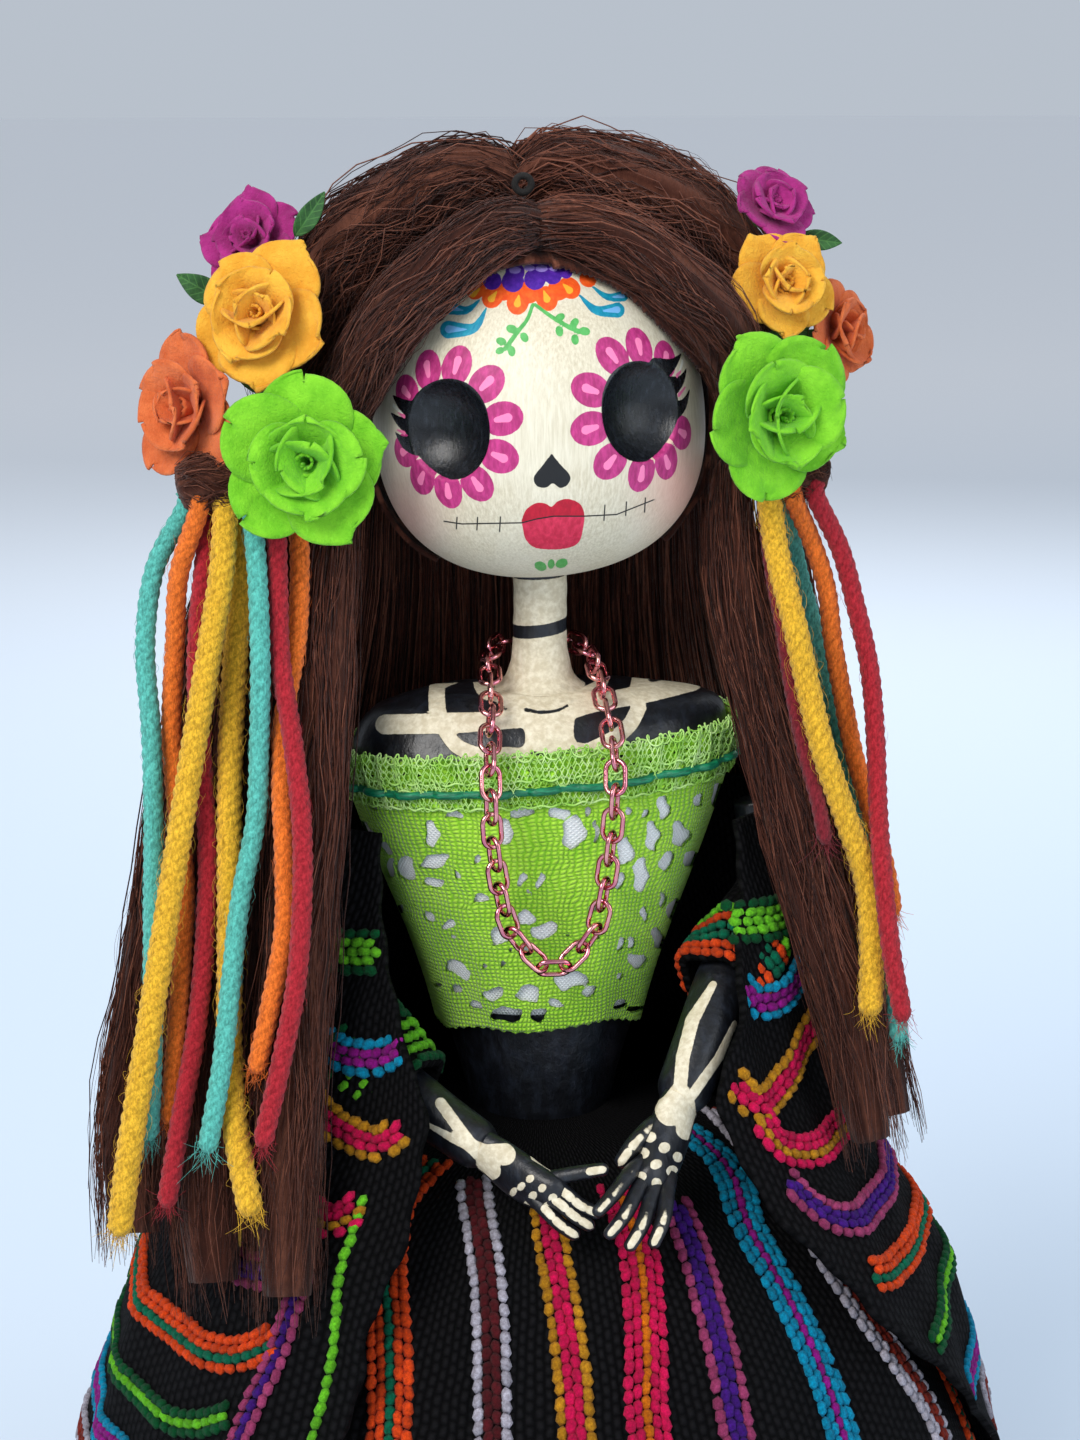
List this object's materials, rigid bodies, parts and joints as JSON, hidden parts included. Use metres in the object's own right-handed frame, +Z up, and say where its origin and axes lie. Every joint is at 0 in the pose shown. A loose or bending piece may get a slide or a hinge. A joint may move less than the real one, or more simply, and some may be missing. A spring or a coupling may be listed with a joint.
{
  "type": "papier-mache catrina figure",
  "caption": "Standing papier-mache skeleton lady with painted face, wool hair, paper roses, yarn streamers, lace bodice, striped shawl, bell skirt and loose chain.",
  "frame": {"origin": "middle of the underside, on the ground", "axes": "+Z up, -Y the way the figure faces, +X to its left hand side, the viewer's right"},
  "size_m": [0.184, 0.184, 0.2937],
  "materials": {
    "board": "sanded",
    "papier_bare": "bare papier-mache",
    "dowel": "sanded",
    "papier_black": "satin black paint over papier-mache",
    "papier_cream": "brushed cream paint over papier-mache",
    "papier_pulp": "bare pulp",
    "lining": "woven",
    "lace": "crocheted net",
    "frill": "loose net",
    "ribbon": "running stitches",
    "knit_skirt": "ribbed weave with coloured stripes",
    "knit_shawl": "ribbed weave with coloured stripes",
    "wire": "bare",
    "hair": "combed wool",
    "thread": "matt",
    "paper_green": "fibrous",
    "paper_orange": "fibrous",
    "paper_yellow": "fibrous",
    "paper_magenta": "fibrous",
    "leaf": "fibrous",
    "stem": "wound tape",
    "felt": "felt",
    "yarn_yellow": "fuzzy",
    "yarn_aqua": "plied",
    "yarn_orange": "plied",
    "yarn_red": "plied",
    "yarn_maroon": "plied",
    "chain": "polished, rose copper"
  },
  "bodies": {
    "figure": {"base_board": "board", "skirt_form": "papier_bare", "spine_dowel": "dowel", "torso_shell": "papier_black", "neck_sleeve": "papier_cream", "skull_core": "papier_pulp", "skull_shell": "papier_cream", "bodice_lining": "lining", "bodice_lace": "lace", "lace_frill": "frill", "frill_ribbon": "ribbon", "skirt_cloth": "knit_skirt", "shawl_cloth": "knit_shawl", "arm_left": "papier_black", "arm_right": "papier_black", "arm_wire_left": "wire", "arm_wire_right": "wire", "hand_left": "papier_black", "hand_right": "papier_black", "hair_back": "hair", "hair_puff_left": "hair", "hair_puff_right": "hair", "hair_band_left": "hair", "hair_band_right": "hair", "hair_lock_left_1": "hair", "hair_lock_left_2": "hair", "hair_lock_left_3": "hair", "hair_lock_right_1": "hair", "hair_lock_right_2": "hair", "parting_thread": "thread", "rose_left_green": "paper_green", "rose_left_orange": "paper_orange", "rose_left_yellow": "paper_yellow", "rose_left_magenta": "paper_magenta", "rose_right_green": "paper_green", "rose_right_orange": "paper_orange", "rose_right_yellow": "paper_yellow", "rose_right_magenta": "paper_magenta", "rose_leaves_left": "leaf", "rose_leaves_right": "leaf", "rose_stems_left": "stem", "rose_stems_right": "stem", "yarn_band_left": "felt", "yarn_band_right": "felt", "yarn_left_1": "yarn_yellow", "yarn_left_2": "yarn_yellow", "yarn_left_3": "yarn_aqua", "yarn_left_4": "yarn_orange", "yarn_left_5": "yarn_red", "yarn_left_6": "yarn_aqua", "yarn_left_7": "yarn_red", "yarn_left_8": "yarn_orange", "yarn_right_1": "yarn_yellow", "yarn_right_2": "yarn_orange", "yarn_right_3": "yarn_red", "yarn_right_4": "yarn_aqua", "yarn_right_5": "yarn_maroon"},
    "necklace": {"necklace_links": "chain", "necklace_clasp": "chain"}
  },
  "joints": [
    {"name": "necklace_swing", "type": "hinge", "parent": "figure", "child": "necklace", "pos_m": [0, 0.0092, 0.2052], "axis": [-1, 0, 0], "range_deg": [0, 30]}
  ]
}
